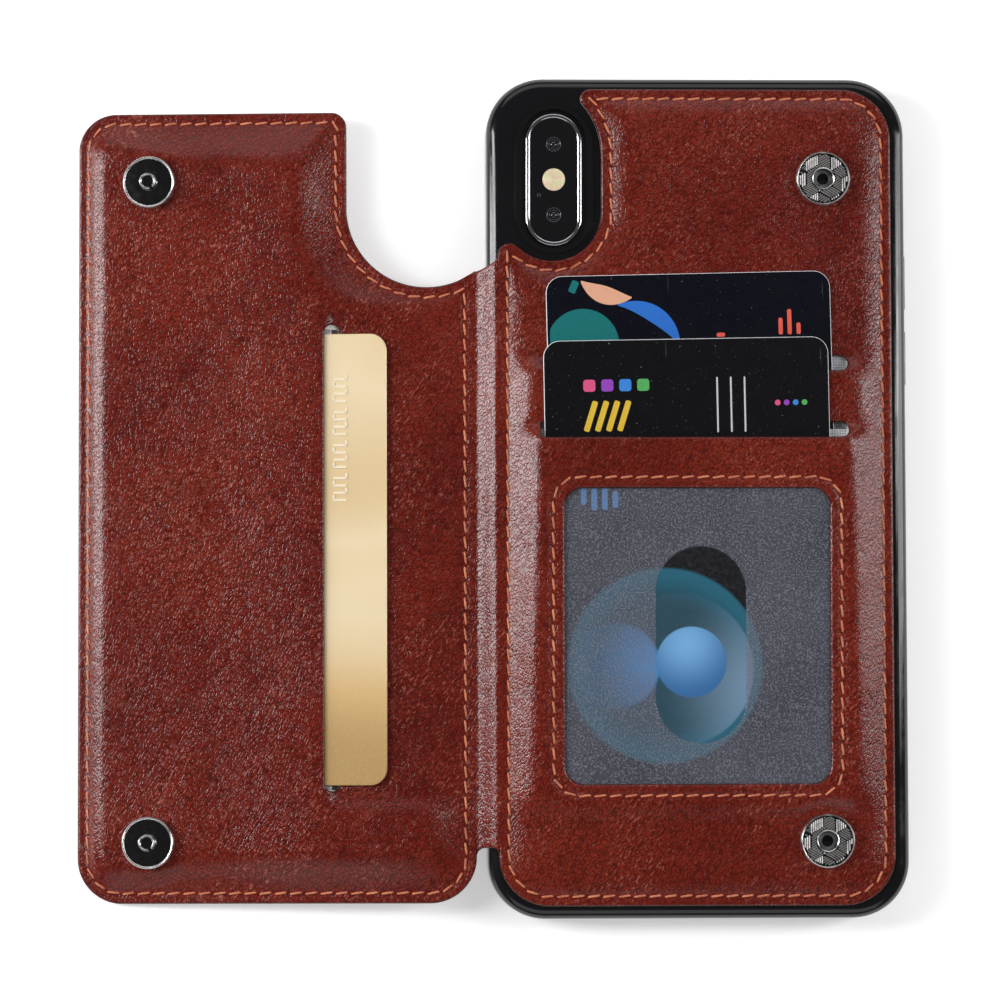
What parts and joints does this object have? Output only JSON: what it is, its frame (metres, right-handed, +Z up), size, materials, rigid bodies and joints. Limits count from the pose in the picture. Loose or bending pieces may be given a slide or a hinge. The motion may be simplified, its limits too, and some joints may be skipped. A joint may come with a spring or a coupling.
{
  "type": "phone wallet case",
  "caption": "Moulded phone case with a padded leather card wallet on its back, a fold-over leather flap, magnetic snaps, card slots and a window pocket.",
  "frame": {"origin": "centre of the whole part's box, on the surface it lies on, with the flap folded open", "axes": "+Z up out of the leather side, +Y towards the phone's top edge, the flap opens towards -X"},
  "size_m": [0.1578, 0.1598, 0.0153],
  "materials": {
    "shell_black": "gloss black moulded plastic",
    "phone_glass": "gloss black glass",
    "phone_metal": "dark satin metal",
    "camera_chrome": "polished",
    "camera_glass": "gloss dark glass",
    "lens_black": "coated glass",
    "flash_cream": "cream diffuser",
    "lining_grey": "woven grey lining",
    "foam": "soft foam",
    "leather_brown": "semi-gloss creased grain",
    "clear_film": "clear soft film",
    "thread_orange": "twisted thread",
    "nickel": "engraved nickel plate",
    "nickel_dark": "polished dark nickel plate",
    "steel": "plain",
    "card_print": "printed laminate",
    "card_paper": "printed laminate",
    "card_gold": "metallic gold laminate",
    "board": "grey board"
  },
  "bodies": {
    "case": {"shell": "shell_black", "phone_screen": "phone_glass", "phone_frame": "phone_metal", "phone_back_glass": "phone_glass", "camera_trim_ring": "camera_chrome", "camera_cover_glass": "camera_glass", "camera_lenses": "lens_black", "camera_flash": "flash_cream", "back_lining": "lining_grey", "back_padding": "foam", "pocket_liner": "lining_grey", "slot_liner": "lining_grey", "window_liner": "lining_grey", "back_panel_leather": "leather_brown", "window_film": "clear_film", "back_panel_stitching": "thread_orange", "window_stitching": "thread_orange", "socket_cap_upper": "nickel", "socket_cap_lower": "nickel", "socket_magnet_upper": "steel", "socket_magnet_lower": "steel", "socket_washer_upper": "steel", "socket_washer_lower": "steel"},
    "spine": {"spine_leather": "leather_brown"},
    "flap": {"flap_outer_leather": "leather_brown", "flap_inner_leather": "leather_brown", "flap_board": "board", "flap_padding": "foam", "flap_pocket_liner": "lining_grey", "flap_stitching": "thread_orange", "stud_disc_upper": "nickel_dark", "stud_disc_lower": "nickel_dark", "stud_post_upper": "nickel", "stud_post_lower": "nickel", "stud_washer_upper": "steel", "stud_washer_lower": "steel"},
    "power_key_cover": {"power_key_cover": "shell_black"},
    "volume_up_key_cover": {"volume_up_key_cover": "shell_black"},
    "volume_down_key_cover": {"volume_down_key_cover": "shell_black"},
    "card_upper": {"card_upper": "card_print"},
    "card_lower": {"card_lower": "card_print"},
    "window_id_card": {"window_id_card": "card_paper"},
    "flap_card": {"flap_card": "card_gold"}
  },
  "joints": [
    {"name": "spine_fold", "type": "hinge", "parent": "case", "child": "spine", "pos_m": [0.00042, 0, 0.0113], "axis": [0, 1, 0], "range_deg": [0, 95.2]},
    {"name": "flap_fold", "type": "hinge", "parent": "spine", "child": "flap", "pos_m": [-0.00386, 0, 0.01091], "axis": [0, 1, 0], "range_deg": [0, 90]},
    {"name": "card_upper_slide", "type": "slide", "parent": "case", "child": "card_upper", "axis": [-0.0227, 0.9996, 0.0186], "range_m": [0, 0.012]},
    {"name": "card_lower_slide", "type": "slide", "parent": "case", "child": "card_lower", "axis": [-0.0175, 0.9994, 0.0311], "range_m": [0, 0.015]},
    {"name": "window_card_slide", "type": "slide", "parent": "case", "child": "window_id_card", "axis": [0, 0.9995, 0.0311], "range_m": [0, 0.01]},
    {"name": "flap_card_slide", "type": "slide", "parent": "flap", "child": "flap_card", "axis": [0.9935, 0, 0.114], "range_m": [0, 0.014]},
    {"name": "power_press", "type": "slide", "parent": "case", "child": "power_key_cover", "axis": [1, 0, 0], "range_m": [0, 0.00035], "stiffness_N_per_m": 3000, "springref_m": -0.0001},
    {"name": "volume_up_press", "type": "slide", "parent": "case", "child": "volume_up_key_cover", "axis": [-1, 0, 0], "range_m": [0, 0.00035], "stiffness_N_per_m": 3000, "springref_m": -0.0001},
    {"name": "volume_down_press", "type": "slide", "parent": "case", "child": "volume_down_key_cover", "axis": [-1, 0, 0], "range_m": [0, 0.00035], "stiffness_N_per_m": 3000, "springref_m": -0.0001}
  ]
}
